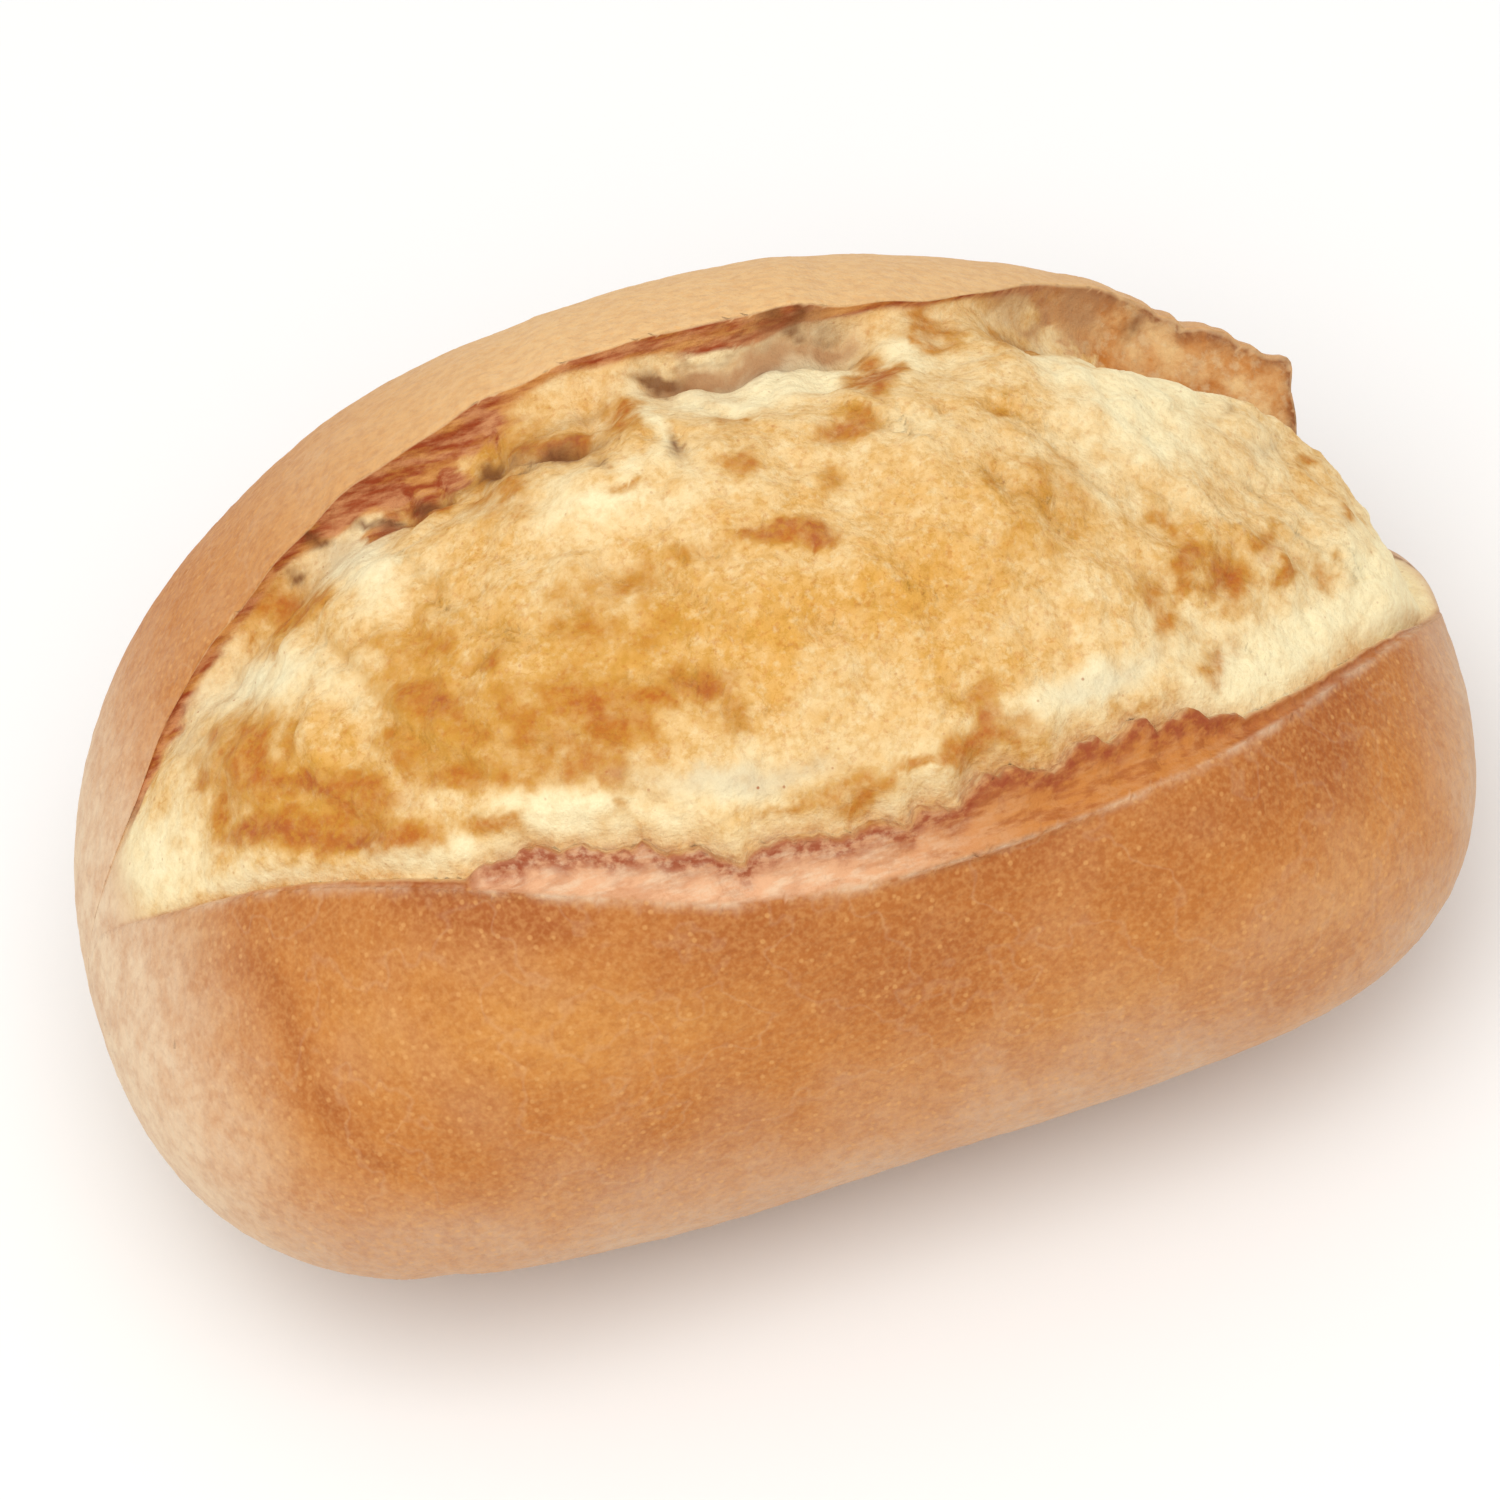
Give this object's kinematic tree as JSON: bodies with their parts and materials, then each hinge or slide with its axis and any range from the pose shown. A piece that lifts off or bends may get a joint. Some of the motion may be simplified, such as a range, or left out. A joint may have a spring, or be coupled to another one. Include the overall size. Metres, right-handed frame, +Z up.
{
  "type": "bread roll",
  "caption": "Oval crusty white bread roll with a flat foot, split open lengthwise along the top over a swollen torn crumb.",
  "frame": {"origin": "middle of the bounding box on the plane of the flat foot", "axes": "+X along the roll towards the end with the jagged ear, +Y towards the back lip, +Z up"},
  "size_m": [0.116, 0.0784, 0.0625],
  "materials": {
    "crust": "baked golden-brown crust and toasted cream crumb, matt"
  },
  "bodies": {
    "root": {"roll": "crust"}
  },
  "joints": []
}
